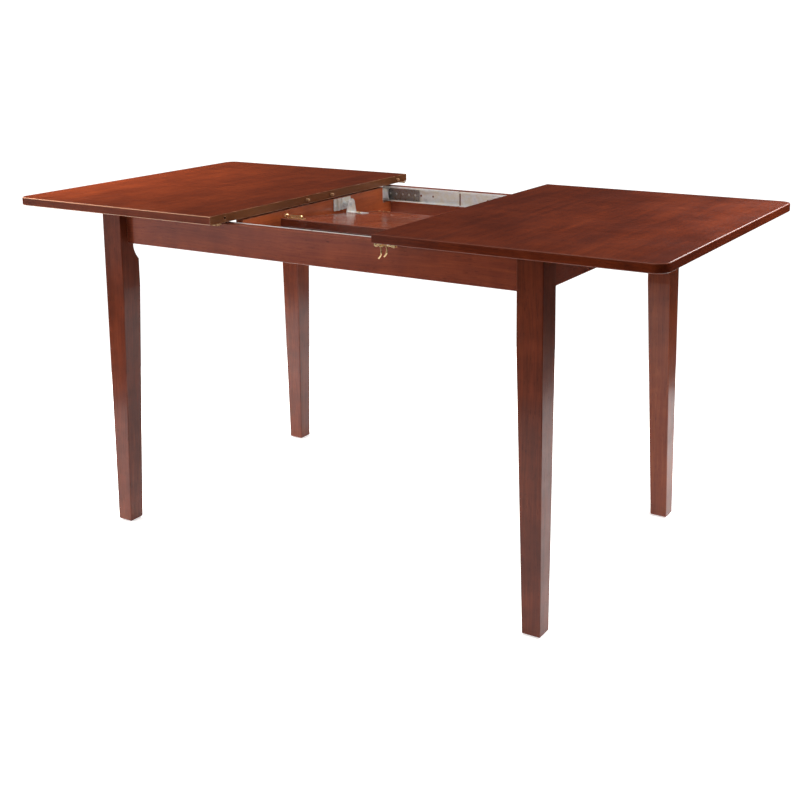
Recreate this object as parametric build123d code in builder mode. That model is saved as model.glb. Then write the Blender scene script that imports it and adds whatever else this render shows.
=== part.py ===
from build123d import *
import math
import os

os.makedirs("parts", exist_ok=True)

# Extendable dining table with a fold-away butterfly leaf. Millimetres, +Z up, +X along the table,
# +Y to the rear. The origin is on the floor under the middle of the table. The tops are drawn
# apart and the leaf lies folded in the well between them.

# ---- driving dimensions ----
table_height = 740.0
table_depth = 750.0
top_length = 575.0
top_thick = 18.0
open_gap = 395.0
leaf_width = 350.0
corner_radius = 25.0
edge_radius = 2.5

leg_outer_x = 538.0
leg_outer_y = 343.0
leg_width = 53.0
leg_foot = 38.0
taper_top = 550.0
leg_ease = 2.0
corner_cut = 16.0
cut_bottom = 640.0
cut_runout = 610.0
glide_height = 3.0
glide_radius = 11.0
glide_bevel = 0.8
foot_bevel = 1.2

frame_top = 718.0
apron_bottom = 651.0
apron_thick = 18.0
apron_recess = 20.5
apron_ease = 1.2
rail_face_x = 200.0
rail_top = 717.6
notch_y = 269.0
notch_bottom = 680.0

slide_height = 35.0
slide_gauge = 1.2
slide_depth = 11.1
lip_height = 1.4
channel_start = 2.0
channel_end = 480.0
member_start = 199.0
member_end = 487.0
member_height = 25.6
member_depth = 7.8
member_front = 11.7
cage_start = 114.0
cage_length = 150.0
cage_gauge = 0.8
ball_radius = 1.65
ball_pitch = 25.0

pivot_y = 102.5
pivot_z = 702.0
stow_angle = 174.3
pin_radius = 3.0
running_gap = 0.05
fold_gap = 0.3

dowel_radius = 3.0
dowel_in = 20.0
dowel_out = 9.0
dowel_clearance = 0.3
dowel_nose = 2.0
dowel_nose_radius = 1.4
socket_spare = 1.5
dowel_inner_y = 47.0
dowel_outer_y = 328.7

catch_y = 355.0
catch_drop = 5.2
eye_radius = 4.4
arm_reach = 38.0
arm_height = 3.4
arm_width = 5.0
plate_gauge = 1.2

screw_head = 3.0
screw_head_height = 1.5
screw_shank = 1.5
screw_length = 12.0
screw_slack = 0.2
cross_length = 3.6
cross_width = 0.7
cross_depth = 1.2

# ---- derived places ----
underside = table_height - top_thick
half_gap = open_gap / 2
half_leaf = leaf_width / 2
half_depth = table_depth / 2
leg_inner_x = leg_outer_x - leg_width
leg_inner_y = leg_outer_y - leg_width
apron_face_y = leg_outer_y - apron_recess
apron_inner_y = apron_face_y - apron_thick
apron_face_x = leg_outer_x - apron_recess
apron_inner_x = apron_face_x - apron_thick
apron_height = frame_top - apron_bottom
slide_top = frame_top - 1.0
slide_mid = slide_top - slide_height / 2
dowel_z = underside + top_thick / 2
catch_z = underside - catch_drop
pivot_axis = Axis((0, pivot_y, pivot_z), (-1, 0, 0))
fold_axis = Axis((0, 0, table_height + fold_gap), (-1, 0, 0))

# drilling planes: the normal points at the person holding the screwdriver
rear_apron_inside = Plane((0, apron_inner_y, 0), x_dir=(1, 0, 0), z_dir=(0, -1, 0))
right_apron_inside = Plane((apron_inner_x, 0, 0), x_dir=(0, -1, 0), z_dir=(-1, 0, 0))
under_top = Plane((0, 0, underside), x_dir=(1, 0, 0), z_dir=(0, 0, -1))
low_end = (Align.CENTER, Align.CENTER, Align.MIN)
high_end = (Align.CENTER, Align.CENTER, Align.MAX)


def finish(piece, name):
    piece.label = name
    export_step(piece, f"parts/{name}.step")


def both_ways(piece):
    """The piece and its mirror image in the table's middle plane y = 0."""
    return Compound(children=[*piece.solids(), *mirror(piece, about=Plane.XZ).solids()])


def stow(piece):
    """Turn a piece of the leaf from its place in use to its place in the well."""
    return piece.rotate(pivot_axis, -stow_angle)


def fold(piece):
    """Turn a piece of the front half over onto the rear half of the leaf."""
    return piece.rotate(fold_axis, -180)


def pilot_holes(plane, points, depth=screw_length, radius=screw_shank):
    with Locations(plane):
        with Locations(*points):
            Cylinder(radius, depth, align=high_end, mode=Mode.SUBTRACT)


def plate_holes(plane, points, gauge):
    with Locations(plane):
        with Locations(*points):
            Cylinder(screw_shank + screw_slack, 4 * gauge, mode=Mode.SUBTRACT)


def screws(plane, points, gauge):
    """Pan-head screws that hold a plate of the given gauge against the plane."""
    for place in [plane * Location((x, y, gauge)) for x, y in points]:
        with Locations(place):
            Cylinder(screw_head, screw_head_height, align=low_end)
            Cylinder(screw_shank, screw_length + gauge, align=high_end)
        with Locations(place * Location((0, 0, screw_head_height))):
            Box(cross_length, cross_width, cross_depth, mode=Mode.SUBTRACT)
            Box(cross_width, cross_length, cross_depth, mode=Mode.SUBTRACT)


# ---- legs ----
bolt_radius = 4.0
bolt_in_leg = 35.0
with BuildPart() as leg:
    with BuildSketch(Plane.XY.offset(glide_height)):
        with Locations((leg_outer_x - leg_foot / 2, leg_outer_y - leg_foot / 2)):
            RectangleRounded(leg_foot, leg_foot, leg_ease)
    with BuildSketch(Plane.XY.offset(taper_top)):
        with Locations((leg_outer_x - leg_width / 2, leg_outer_y - leg_width / 2)):
            RectangleRounded(leg_width, leg_width, leg_ease)
    loft(ruled=True)
    extrude(leg.faces().sort_by(Axis.Z)[-1], amount=frame_top - taper_top)
    chamfer(leg.faces().sort_by(Axis.Z)[0].edges(), foot_bevel)
    # the inner corner is cut flat behind the corner plate and runs out in a curve below it
    diagonal = Plane((leg_inner_x, leg_inner_y, 0), x_dir=(1, 1, 0), z_dir=(1, -1, 0))
    cut_depth = corner_cut / math.sqrt(2)
    with BuildSketch(diagonal):
        with BuildLine():
            upright = Line((cut_depth, frame_top + 2), (cut_depth, cut_bottom))
            runout = TangentArc((cut_depth, cut_bottom), (0, cut_runout), tangent=(0, -1))
            Polyline(runout @ 1, (-cut_depth, cut_runout), (-cut_depth, frame_top + 2), upright @ 0)
        make_face()
    extrude(amount=leg_width, both=True, mode=Mode.SUBTRACT)
    # socket of the hanger bolt, square to the flat
    bolt_height = (apron_bottom + notch_bottom) / 2
    flat_centre = (leg_inner_x + corner_cut / 2, leg_inner_y + corner_cut / 2, bolt_height)
    bolt_seat = Plane(flat_centre, x_dir=(1, -1, 0), z_dir=(-1, -1, 0))
    with Locations(bolt_seat):
        Cylinder(bolt_radius, bolt_in_leg, align=high_end, mode=Mode.SUBTRACT)

finish(leg.part, "rear_right_leg")
finish(mirror(leg.part, about=Plane.YZ), "rear_left_leg")
finish(mirror(leg.part, about=Plane.XZ), "front_right_leg")
finish(mirror(mirror(leg.part, about=Plane.YZ), about=Plane.XZ), "front_left_leg")

with BuildPart() as glides:
    for side in (1, -1):
        with Locations((side * (leg_outer_x - leg_foot / 2), leg_outer_y - leg_foot / 2, 0)):
            Cylinder(glide_radius, glide_height, align=low_end)
    chamfer(glides.faces().filter_by(Axis.Z).group_by(Axis.Z)[0].edges(), glide_bevel)
finish(both_ways(glides.part), "leg_glides")

# ---- corner plates, each drawn up against its leg by a hanger bolt ----
plate_thick = 2.0
plate_height = 26.0
tab_length = 22.0
tab_overlap = 1.0
tab_screw_rise = 7.0
bolt_slack = 0.4
plate_setback = 25.0
plate_sum = leg_inner_x + leg_inner_y - plate_setback
tab_y = apron_inner_y - plate_thick / 2
tab_x = apron_inner_x - plate_thick / 2
bend_x = plate_sum - apron_inner_y
bend_y = plate_sum - apron_inner_x
slant = (tab_x - bend_x - tab_overlap) * math.sqrt(2)
corner_tab_x = bend_x - tab_length / 2
corner_tab_y = bend_y - tab_length / 2
tab_rows = (bolt_height - tab_screw_rise, bolt_height + tab_screw_rise)

plate_centre = ((bend_x + apron_inner_x) / 2, (bend_y + apron_inner_y) / 2, bolt_height)
plate_middle = Plane(plate_centre, x_dir=(1, -1, 0), z_dir=(-1, -1, 0))

with BuildPart() as corner_plates:
    with BuildSketch(Plane.XY.offset(bolt_height - plate_height / 2)):
        with Locations((corner_tab_x + tab_overlap, tab_y)):
            Rectangle(tab_length + 2 * tab_overlap, plate_thick)
        with Locations((tab_x, corner_tab_y + tab_overlap)):
            Rectangle(plate_thick, tab_length + 2 * tab_overlap)
        with Locations(plate_centre[:2]):
            Rectangle(slant, plate_thick, rotation=-45)
    extrude(amount=plate_height)
    plate_holes(rear_apron_inside, [(corner_tab_x, z) for z in tab_rows], plate_thick)
    plate_holes(right_apron_inside, [(-corner_tab_y, z) for z in tab_rows], plate_thick)
    with Locations(plate_middle):
        Cylinder(bolt_radius + bolt_slack, 4 * plate_thick, mode=Mode.SUBTRACT)
    mirror(about=Plane.YZ)
finish(both_ways(corner_plates.part), "corner_plates")

with BuildPart() as corner_screws:
    screws(rear_apron_inside, [(corner_tab_x, z) for z in tab_rows], plate_thick)
    screws(right_apron_inside, [(-corner_tab_y, z) for z in tab_rows], plate_thick)
    mirror(about=Plane.YZ)
finish(both_ways(corner_screws.part), "corner_plate_screws")

bolt_past_plate = 12.0
bolt_bevel = 0.8
plate_to_leg = (leg_inner_x + corner_cut + leg_inner_y - plate_sum) / math.sqrt(2)
with BuildPart() as hanger_bolts:
    with Locations(bolt_seat):
        Cylinder(bolt_radius, bolt_in_leg, align=high_end)
        Cylinder(bolt_radius, plate_to_leg + bolt_past_plate, align=low_end)
    chamfer(hanger_bolts.edges().filter_by(GeomType.CIRCLE), bolt_bevel)
    mirror(about=Plane.YZ)
finish(both_ways(hanger_bolts.part), "hanger_bolts")

washer_radius = 8.5
washer_thick = 1.5
nut_across_flats = 13.0
nut_height = 8.0
with BuildPart() as hanger_nuts:
    with BuildSketch(plate_middle.offset(plate_thick / 2)):
        Circle(washer_radius)
        Circle(bolt_radius, mode=Mode.SUBTRACT)
    extrude(amount=washer_thick)
    with BuildSketch(plate_middle.offset(plate_thick / 2)):
        RegularPolygon(nut_across_flats / 2, 6, major_radius=False)
        Circle(bolt_radius, mode=Mode.SUBTRACT)
    extrude(amount=nut_height)
    mirror(about=Plane.YZ)
finish(both_ways(hanger_nuts.part), "hanger_nuts")

# ---- drawer slides between the frame and the tops, drawn for the rear right one ----
slide_screw_x = (93.0, 300.0, 440.0)
channel_holes_x = (76.0, 110.0, 320.0, 420.0)
channel_hole_radius = 2.6
flange_y = apron_inner_y - slide_depth / 2
half_height = slide_height / 2

with BuildPart() as channel:
    with BuildSketch(Plane.YZ.offset(channel_start)):
        with Locations((apron_inner_y - slide_gauge / 2, slide_mid)):
            Rectangle(slide_gauge, slide_height)
        for side in (1, -1):
            with Locations((flange_y, slide_mid + side * (half_height - slide_gauge / 2))):
                Rectangle(slide_depth, slide_gauge)
            lip_mid = half_height - slide_gauge - lip_height / 2
            with Locations((apron_inner_y - slide_depth + slide_gauge / 2, slide_mid + side * lip_mid)):
                Rectangle(slide_gauge, lip_height)
    extrude(amount=channel_end - channel_start)
    plate_holes(rear_apron_inside, [(x, slide_mid) for x in slide_screw_x], slide_gauge)
    with Locations(rear_apron_inside):
        with Locations(*[(x, slide_mid) for x in channel_holes_x]):
            Cylinder(channel_hole_radius, 4 * slide_gauge, mode=Mode.SUBTRACT)
finish(channel.part, "rear_right_slide_channel")
finish(mirror(channel.part, about=Plane.YZ), "rear_left_slide_channel")
finish(mirror(channel.part, about=Plane.XZ), "front_right_slide_channel")
finish(mirror(mirror(channel.part, about=Plane.YZ), about=Plane.XZ), "front_left_slide_channel")

slide_head_height = 0.8
with BuildPart() as slide_screws:
    for x in slide_screw_x:
        place = rear_apron_inside * Location((x, slide_mid, slide_gauge))
        with Locations(place):
            Cylinder(screw_head, slide_head_height, align=low_end)
            Cylinder(screw_shank, screw_length + slide_gauge, align=high_end)
    mirror(about=Plane.YZ)
finish(both_ways(slide_screws.part), "slide_screws")

ball_line = 7.1
ball_slack = 0.1
ball_count = 6
cage_line = 2.7
cage_arm = 7.2
cage_hole_radius = 3.0
cage_hole_pitch = 18.0
cage_hole_count = 8
member_face = apron_inner_y - member_front
ball_y = apron_inner_y - ball_line
ball_z = member_height / 2 + ball_radius + ball_slack
with BuildPart() as member:
    with BuildSketch(Plane.YZ.offset(member_start)):
        with Locations((member_face + slide_gauge / 2, slide_mid)):
            Rectangle(slide_gauge, member_height)
        for side in (1, -1):
            edge_mid = slide_mid + side * (member_height - slide_gauge) / 2
            with Locations((member_face + member_depth / 2, edge_mid)):
                Rectangle(member_depth, slide_gauge)
    extrude(amount=member_end - member_start)

with BuildPart() as cage:
    with BuildSketch(Plane.YZ.offset(cage_start)):
        cage_web = apron_inner_y - cage_line
        with Locations((cage_web, slide_mid)):
            Rectangle(cage_gauge, 2 * ball_z + cage_gauge)
        for side in (1, -1):
            with Locations((cage_web + (cage_gauge - cage_arm) / 2, slide_mid + side * ball_z)):
                Rectangle(cage_arm, cage_gauge)
    extrude(amount=cage_length)
    cage_mid = cage_start + cage_length / 2
    ball_x = [cage_mid + ball_pitch * (n - (ball_count - 1) / 2) for n in range(ball_count)]
    with Locations(*[(x, ball_y, slide_mid) for x in ball_x]):
        Cylinder(ball_radius + 1.5 * ball_slack, slide_height, mode=Mode.SUBTRACT)
    window_x = [cage_mid + cage_hole_pitch * (n - (cage_hole_count - 1) / 2) for n in range(cage_hole_count)]
    with Locations(rear_apron_inside):
        with Locations(*[(x, slide_mid) for x in window_x]):
            Cylinder(cage_hole_radius, slide_height, mode=Mode.SUBTRACT)

with BuildPart() as balls:
    for side in (1, -1):
        with Locations(*[(x, ball_y, slide_mid + side * ball_z) for x in ball_x]):
            Sphere(ball_radius)

for side_name, turn in (("right", False), ("left", True)):
    here = mirror(member.part, about=Plane.YZ) if turn else member.part
    finish(here, f"rear_{side_name}_slide_member")
    finish(mirror(here, about=Plane.XZ), f"front_{side_name}_slide_member")
    here = mirror(cage.part, about=Plane.YZ) if turn else cage.part
    finish(both_ways(here), f"{side_name}_ball_cages")
    here = mirror(balls.part, about=Plane.YZ) if turn else balls.part
    finish(both_ways(here), f"{side_name}_bearing_balls")

# ---- angle brackets that carry the tops on the slide members ----
bracket_x = (300.0, 440.0)
bracket_length = 36.0
bracket_gauge = 1.5
bracket_reach = 21.5
bracket_drop = 28.0
bracket_screw_in = 12.0
bracket_screw_dx = 10.0
bracket_screw_y = member_face - bracket_screw_in
bracket_screws = [
    (x + side * bracket_screw_dx, -bracket_screw_y) for x in bracket_x for side in (-1, 1)
]

with BuildPart() as brackets:
    for x in bracket_x:
        with BuildSketch(Plane.YZ.offset(x - bracket_length / 2)):
            with Locations((member_face - bracket_gauge / 2, underside - bracket_drop / 2)):
                Rectangle(bracket_gauge, bracket_drop)
            with Locations((member_face - bracket_reach / 2, underside - bracket_gauge / 2)):
                Rectangle(bracket_reach, bracket_gauge)
        extrude(amount=bracket_length)
    plate_holes(under_top, bracket_screws, bracket_gauge)
finish(both_ways(brackets.part), "right_slide_brackets")
finish(both_ways(mirror(brackets.part, about=Plane.YZ)), "left_slide_brackets")

# ---- aprons and cross rails ----
angle_leg = 20.0
angle_gauge = 1.5
angle_height = 22.0
angle_hole_past = 1.0
angle_x = rail_face_x + apron_thick + angle_leg / 2 + angle_hole_past
angle_y = apron_inner_y - angle_leg / 2 - angle_hole_past
rail_outside = Plane((rail_face_x + apron_thick, 0, 0), x_dir=(0, 1, 0), z_dir=(1, 0, 0))
slide_points = [(side * x, slide_mid) for side in (1, -1) for x in slide_screw_x]
corner_points = [(side * corner_tab_x, z) for side in (1, -1) for z in tab_rows]
angle_points = [(side * angle_x, bolt_height) for side in (1, -1)]

with BuildPart() as rear_apron:
    with Locations((0, apron_face_y, apron_bottom)):
        Box(2 * leg_inner_x, apron_thick, apron_height, align=(Align.CENTER, Align.MAX, Align.MIN))
    fillet(rear_apron.edges().filter_by(Axis.X), apron_ease)
    pilot_holes(rear_apron_inside, slide_points + corner_points + angle_points)
finish(rear_apron.part, "rear_apron")
finish(mirror(rear_apron.part, about=Plane.XZ), "front_apron")

with BuildPart() as end_apron:
    with Locations((apron_face_x, 0, apron_bottom)):
        Box(apron_thick, 2 * leg_inner_y, apron_height, align=(Align.MAX, Align.CENTER, Align.MIN))
    fillet(end_apron.edges().filter_by(Axis.Y), apron_ease)
    pilot_holes(right_apron_inside, [(side * corner_tab_y, z) for side in (1, -1) for z in tab_rows])
finish(end_apron.part, "right_end_apron")
finish(mirror(end_apron.part, about=Plane.YZ), "left_end_apron")

pin_in_rail = 10.0
pivot_screw_drop = 0.5
pivot_plate_points = [(66.0, pivot_z - pivot_screw_drop), (121.0, pivot_z - pivot_screw_drop)]
notch_cutter = 100.0
rail_inside = Plane((rail_face_x, 0, 0), x_dir=(0, -1, 0), z_dir=(-1, 0, 0))
with BuildPart() as cross_rail:
    with Locations((rail_face_x, 0, apron_bottom)):
        Box(apron_thick, 2 * apron_inner_y, rail_top - apron_bottom,
            align=(Align.MIN, Align.CENTER, Align.MIN))
    for side in (1, -1):
        cutter_y = side * (notch_y + notch_cutter / 2)
        with Locations((rail_face_x + apron_thick / 2, cutter_y, notch_bottom + notch_cutter / 2)):
            Box(2 * apron_thick, notch_cutter, notch_cutter, mode=Mode.SUBTRACT)
    pilot_holes(rail_outside, [(side * angle_y, bolt_height) for side in (1, -1)])
    pilot_holes(rail_inside, [(-y, z) for y, z in pivot_plate_points])
    with Locations(rail_inside):
        with Locations((-pivot_y, pivot_z)):
            Cylinder(pin_radius, pin_in_rail, align=high_end, mode=Mode.SUBTRACT)
finish(cross_rail.part, "right_cross_rail")
finish(mirror(cross_rail.part, about=Plane.YZ), "left_cross_rail")

with BuildPart() as rail_angles:
    with BuildSketch(Plane.XY.offset(bolt_height - angle_height / 2)):
        with Locations((rail_face_x + apron_thick, apron_inner_y)):
            Rectangle(angle_leg, angle_gauge, align=(Align.MIN, Align.MAX))
            Rectangle(angle_gauge, angle_leg, align=(Align.MIN, Align.MAX))
    extrude(amount=angle_height)
    plate_holes(rear_apron_inside, [(angle_x, bolt_height)], angle_gauge)
    plate_holes(rail_outside, [(angle_y, bolt_height)], angle_gauge)
    mirror(about=Plane.YZ)
finish(both_ways(rail_angles.part), "cross_rail_angles")

with BuildPart() as rail_screws:
    screws(rear_apron_inside, [(angle_x, bolt_height)], angle_gauge)
    screws(rail_outside, [(angle_y, bolt_height)], angle_gauge)
    mirror(about=Plane.YZ)
finish(both_ways(rail_screws.part), "cross_rail_screws")

# ---- rest for the folded leaf ----
batten_front = -110.0
batten_width = 25.0
batten_height = 16.0
batten_ease = 1.0
batten_gap = 0.4
tilt = math.radians(180 - stow_angle)
pack_thick = 2 * (top_thick + fold_gap)
pack_low = pivot_z - (underside - pivot_z + pack_thick) / math.cos(tilt)
pack_over_batten = pack_low + (pivot_y - batten_front - batten_width) * math.tan(tilt)
batten_top = pack_over_batten - batten_gap
with BuildPart() as batten:
    with Locations((0, batten_front, batten_top)):
        Box(2 * rail_face_x, batten_width, batten_height, align=(Align.CENTER, Align.MIN, Align.MAX))
    fillet(batten.edges().filter_by(Axis.X), batten_ease)
finish(batten.part, "leaf_rest_batten")

# ---- fixed pivot brackets on the cross rails, with the pins the leaf turns on ----
bracket_y = (60.0, 127.0)
bracket_z = (689.0, 716.0)
rib_places = ((75.5, 5.0), (89.5, 3.5))
pivot_gauge = 2.0
leaf_side_gap = 2.5
swing_plate_x = half_leaf + leaf_side_gap

with BuildPart() as pivot_brackets:
    with BuildSketch(Plane.XY.offset(bracket_z[0])):
        with Locations((rail_face_x, bracket_y[0])):
            Rectangle(pivot_gauge, bracket_y[1] - bracket_y[0], align=(Align.MAX, Align.MIN))
        for y, radius in rib_places:
            with Locations((rail_face_x - pivot_gauge, y)):
                Circle(radius)
        with Locations((rail_face_x, pivot_y)):
            Rectangle(apron_thick, table_depth, align=(Align.MIN, Align.CENTER), mode=Mode.SUBTRACT)
    extrude(amount=bracket_z[1] - bracket_z[0])
    plate_holes(rail_inside, [(-y, z) for y, z in pivot_plate_points], pivot_gauge)
    with Locations(rail_inside):
        with Locations((-pivot_y, pivot_z)):
            Cylinder(pin_radius, 4 * pivot_gauge, mode=Mode.SUBTRACT)
    mirror(about=Plane.YZ)
finish(pivot_brackets.part, "pivot_brackets")

with BuildPart() as pivot_screws:
    screws(rail_inside, [(-y, z) for y, z in pivot_plate_points], pivot_gauge)
    mirror(about=Plane.YZ)
finish(pivot_screws.part, "pivot_bracket_screws")

collar_radius = 6.0
collar_gap = 0.5
cap_radius = 5.0
cap_thick = 1.5
cap_gap = 0.4
collar_end = swing_plate_x + pivot_gauge + collar_gap
cap_start = swing_plate_x - cap_gap
with BuildPart() as pivot_pins:
    with Locations(Plane((rail_face_x, pivot_y, pivot_z), z_dir=(-1, 0, 0))):
        Cylinder(pin_radius, pin_in_rail, align=high_end)
        Cylinder(pin_radius, rail_face_x - cap_start, align=low_end)
    with Locations(Plane((rail_face_x - pivot_gauge, pivot_y, pivot_z), z_dir=(-1, 0, 0))):
        Cylinder(collar_radius, rail_face_x - pivot_gauge - collar_end, align=low_end)
    with Locations(Plane((cap_start, pivot_y, pivot_z), z_dir=(-1, 0, 0))):
        Cylinder(cap_radius, cap_thick, align=low_end)
    mirror(about=Plane.YZ)
finish(pivot_pins.part, "pivot_pins")

# ---- catches, drawn for a panel whose edge is at x = 0 and whose underside is at z = 0 ----
base_start = 7.5
base_end = 46.0
keeper_back = -34.0
keeper_nose = 6.2
window_back = -8.0
window_nose = 4.2
plate_width = 19.0
bail_x = 12.0
bail_radius = 1.5
bail_spread = 9.5
bail_drop = 24.0
bail_bow = 3.6
bail_toe = 2.5
bail_boss = 3.3
ear_length = 8.0
ear_gauge = 1.2
ear_gap = 0.4
ear_past = 2.0
rivet_radius = 1.5
rivet_boss = 3.2
window_slack = 1.1
nose_gap = 0.6
plate_corner = 2.0
base_screws = ((17.0, 6.2), (30.0, -6.2))
keeper_screws = ((-28.0, 0.0), (-15.0, 0.0))
eye_x = -1.5


def catch_base():
    """Screw plate with two ears and the rivet that the arm swings on."""
    with BuildPart() as base:
        with BuildSketch():
            with Locations(((base_start + base_end) / 2, 0)):
                RectangleRounded(base_end - base_start, plate_width, plate_corner)
            with Locations(*base_screws):
                Circle(screw_shank + screw_slack, mode=Mode.SUBTRACT)
        extrude(amount=-plate_gauge)
        for side in (1, -1):
            with Locations((arm_reach, side * (arm_width + ear_gauge + 2 * ear_gap) / 2, -plate_gauge)):
                Box(ear_length, ear_gauge, catch_drop + ear_past - plate_gauge, align=high_end)
        with Locations(Plane((arm_reach, 0, -catch_drop), z_dir=(0, 1, 0))):
            Cylinder(rivet_radius, arm_width + 2 * (ear_gauge + ear_gap))
    return base.part


def catch_arm(with_bail):
    """Flat arm with an eye at its nose. It swings on the rivet at its other end."""
    with BuildPart() as arm:
        with BuildSketch(Plane.XZ):
            with BuildLine():
                Line((eye_x, -catch_drop), (arm_reach, -catch_drop))
            trace(line_width=arm_height)
            with Locations((eye_x, -catch_drop)):
                Circle(eye_radius)
            with Locations((arm_reach, -catch_drop)):
                Circle(rivet_boss)
            if with_bail:
                with Locations((bail_x, -catch_drop)):
                    Circle(bail_boss)
            with Locations((eye_x, -catch_drop)):
                Circle(rivet_radius, mode=Mode.SUBTRACT)
            with Locations((arm_reach, -catch_drop)):
                Circle(rivet_radius + running_gap, mode=Mode.SUBTRACT)
            if with_bail:
                with Locations((bail_x, -catch_drop)):
                    Circle(bail_radius + running_gap, mode=Mode.SUBTRACT)
        extrude(amount=arm_width / 2, both=True)
    return arm.part


def catch_bail():
    """Wire fork that hangs through the arm, to pull it down by, with two bowed prongs."""
    toe = -catch_drop - bail_drop
    with BuildPart() as bail:
        with Locations(Plane((bail_x, 0, -catch_drop), z_dir=(0, 1, 0))):
            Cylinder(bail_radius, 2 * bail_spread)
        for y in (-bail_spread, bail_spread):
            shoulder = (bail_x, y, -catch_drop)
            with BuildLine() as prong:
                ThreePointArc(shoulder, (bail_x + bail_bow, y, toe / 2), (bail_x - bail_toe, y, toe))
            with BuildSketch(Plane(shoulder, z_dir=prong.line % 0)):
                Circle(bail_radius)
            sweep(path=prong.line)
            with Locations(shoulder, prong.line @ 1):
                Sphere(bail_radius)
    return bail.part


def keeper():
    """Plate with a window that the eye of an arm rises into, behind the thick nose."""
    with BuildPart() as plate:
        with BuildSketch():
            with Locations(((keeper_back + keeper_nose) / 2, 0)):
                RectangleRounded(keeper_nose - keeper_back, plate_width, plate_corner)
            with Locations(((window_back + window_nose) / 2, 0)):
                Rectangle(window_nose - window_back, arm_width + 2 * window_slack, mode=Mode.SUBTRACT)
            with Locations(*keeper_screws):
                Circle(screw_shank + screw_slack, mode=Mode.SUBTRACT)
        extrude(amount=-plate_gauge)
        with Locations(((window_nose + keeper_nose) / 2, 0, 0)):
            nose_drop = catch_drop - arm_height / 2 - nose_gap
            Box(keeper_nose - window_nose, arm_width + 2 * window_slack, nose_drop, align=high_end)
    return plate.part


def catch_places(edge_x):
    """Places of the rear and the front catch on the edge at edge_x."""
    return [Location((edge_x, side * catch_y, underside)) for side in (1, -1)]


def points_at(edge_x, side, pattern):
    """Screw places of a catch plate on the edge at edge_x, at the rear (+1) or the front (-1)."""
    return [(edge_x + x, side * catch_y + y) for x, y in pattern]


arm_points = [spot for side in (1, -1) for spot in points_at(half_gap, side, base_screws)]
keeper_points = [spot for side in (1, -1) for spot in points_at(-half_gap, side, keeper_screws)]

bases = [place * catch_base() for place in catch_places(half_gap)]
finish(Compound(children=bases), "top_catch_bases")
finish(catch_places(half_gap)[0] * catch_arm(True), "rear_catch_arm")
finish(catch_places(half_gap)[1] * catch_arm(True), "front_catch_arm")
finish(catch_places(half_gap)[0] * catch_bail(), "rear_catch_bail")
finish(catch_places(half_gap)[1] * catch_bail(), "front_catch_bail")
finish(Compound(children=[place * keeper() for place in catch_places(-half_gap)]), "top_keepers")

# ---- the two sliding tops ----
pin_rows = (-dowel_inner_y, dowel_inner_y, dowel_outer_y)
hole_rows = (-dowel_outer_y,)


def dowels(edge_x, outward, rows):
    """Round-nosed dowel pins glued into the edge at edge_x, standing out towards outward."""
    for y in rows:
        with Locations(Plane((edge_x, y, dowel_z), z_dir=(outward, 0, 0))):
            Cylinder(dowel_radius, dowel_in, align=high_end)
            Cylinder(dowel_radius, dowel_out - dowel_nose, align=low_end)
        nose_x = edge_x + outward * (dowel_out - dowel_nose)
        with Locations(Plane((nose_x, y, dowel_z), z_dir=(outward, 0, 0))):
            Cone(dowel_radius, dowel_nose_radius, dowel_nose, align=low_end)


def dowel_sockets(edge_x, outward, rows, radius, depth):
    for y in rows:
        with Locations(Plane((edge_x, y, dowel_z), z_dir=(outward, 0, 0))):
            Cylinder(radius, depth, align=high_end, mode=Mode.SUBTRACT)


def top_panel(inner_x, outward, pins, holes, screw_points):
    """A top whose inner edge is at inner_x; outward is +1 for the right top and -1 for the left."""
    with BuildPart() as panel:
        with BuildSketch(Plane.XY.offset(underside)) as outline:
            with Locations((inner_x + outward * top_length / 2, 0)):
                Rectangle(top_length, table_depth)
            fillet(outline.vertices().sort_by(Axis.X)[-2:] if outward > 0
                   else outline.vertices().sort_by(Axis.X)[:2], corner_radius)
        extrude(amount=top_thick)
        for level in (0, -1):
            rim = panel.faces().filter_by(Axis.Z).sort_by(Axis.Z)[level].edges()
            rim = rim.sort_by(Axis.X)[1:] if outward > 0 else rim.sort_by(Axis.X)[:-1]
            fillet(rim, edge_radius)
        dowel_sockets(inner_x, -outward, pins, dowel_radius, dowel_in)
        dowel_sockets(inner_x, -outward, holes, dowel_radius + dowel_clearance, dowel_out + socket_spare)
        pilot_holes(under_top, [(x, -y) for x, y in screw_points])
    return panel.part


top_bracket_points = [(x, side * y) for x, y in bracket_screws for side in (1, -1)]
right_points = top_bracket_points + arm_points
left_points = [(-x, y) for x, y in top_bracket_points] + keeper_points
finish(top_panel(half_gap, 1, hole_rows, pin_rows, right_points), "right_top")
finish(top_panel(-half_gap, -1, pin_rows, hole_rows, left_points), "left_top")

with BuildPart() as right_dowel:
    dowels(half_gap, -1, hole_rows)
finish(right_dowel.part, "right_top_dowel")
with BuildPart() as left_dowels:
    dowels(-half_gap, 1, pin_rows)
finish(left_dowels.part, "left_top_dowels")

with BuildPart() as right_screws:
    screws(under_top, [(x, -y) for x, y in top_bracket_points], bracket_gauge)
    screws(under_top, [(x, -y) for x, y in arm_points], plate_gauge)
finish(right_screws.part, "right_top_screws")
with BuildPart() as left_screws:
    screws(under_top, [(-x, -y) for x, y in top_bracket_points], bracket_gauge)
    screws(under_top, [(x, -y) for x, y in keeper_points], plate_gauge)
finish(left_screws.part, "left_top_screws")

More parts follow.
